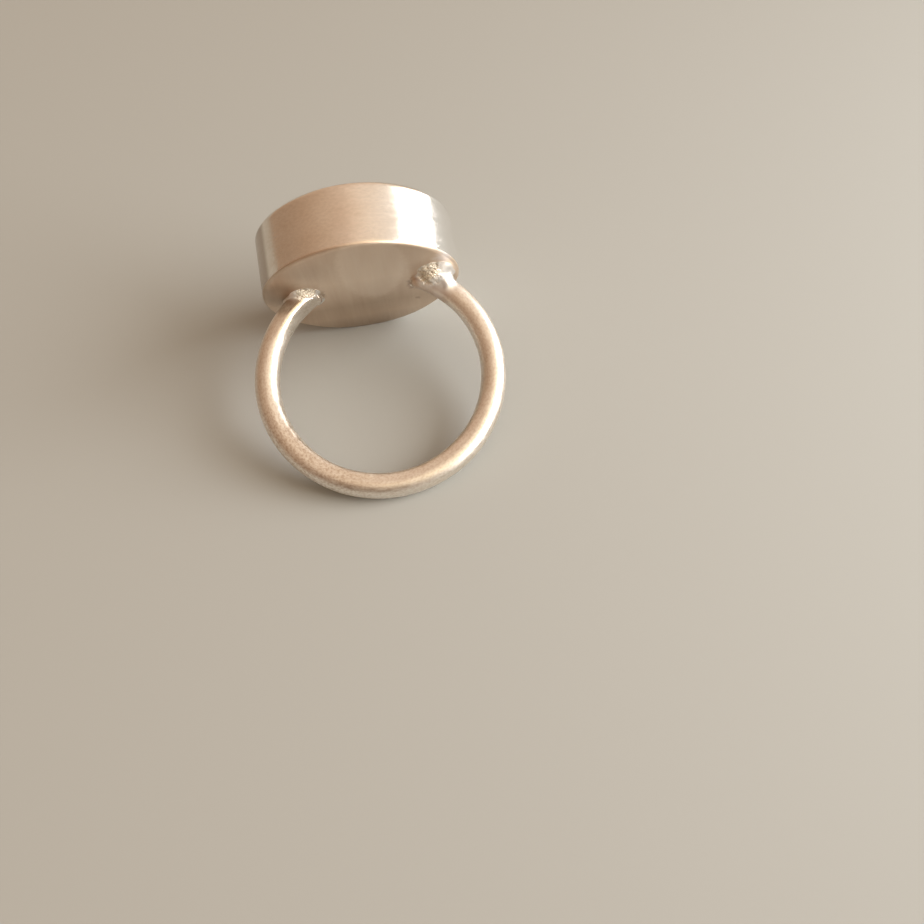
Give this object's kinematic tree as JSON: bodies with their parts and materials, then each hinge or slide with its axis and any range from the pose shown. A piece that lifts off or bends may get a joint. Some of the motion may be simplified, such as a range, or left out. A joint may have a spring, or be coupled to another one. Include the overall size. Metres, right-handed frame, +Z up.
{
  "type": "sea glass ring",
  "caption": "Silver finger ring: a round wire shank soldered to the closed back of a deep round bezel that holds a domed piece of frosted sea glass.",
  "frame": {"origin": "centre of the bounding box, on the surface that the ring lies on", "axes": "+Z up, +Y from the foot of the shank towards the setting, +X across the finger hole"},
  "size_m": [0.0212, 0.0256, 0.0175],
  "materials": {
    "silver": "sterling silver, satin, with crinkled solder at the joints",
    "sea_glass": "frosted by the sea, pale seafoam"
  },
  "bodies": {
    "root": {"silver_mount": "silver", "sea_glass": "sea_glass"}
  },
  "joints": []
}
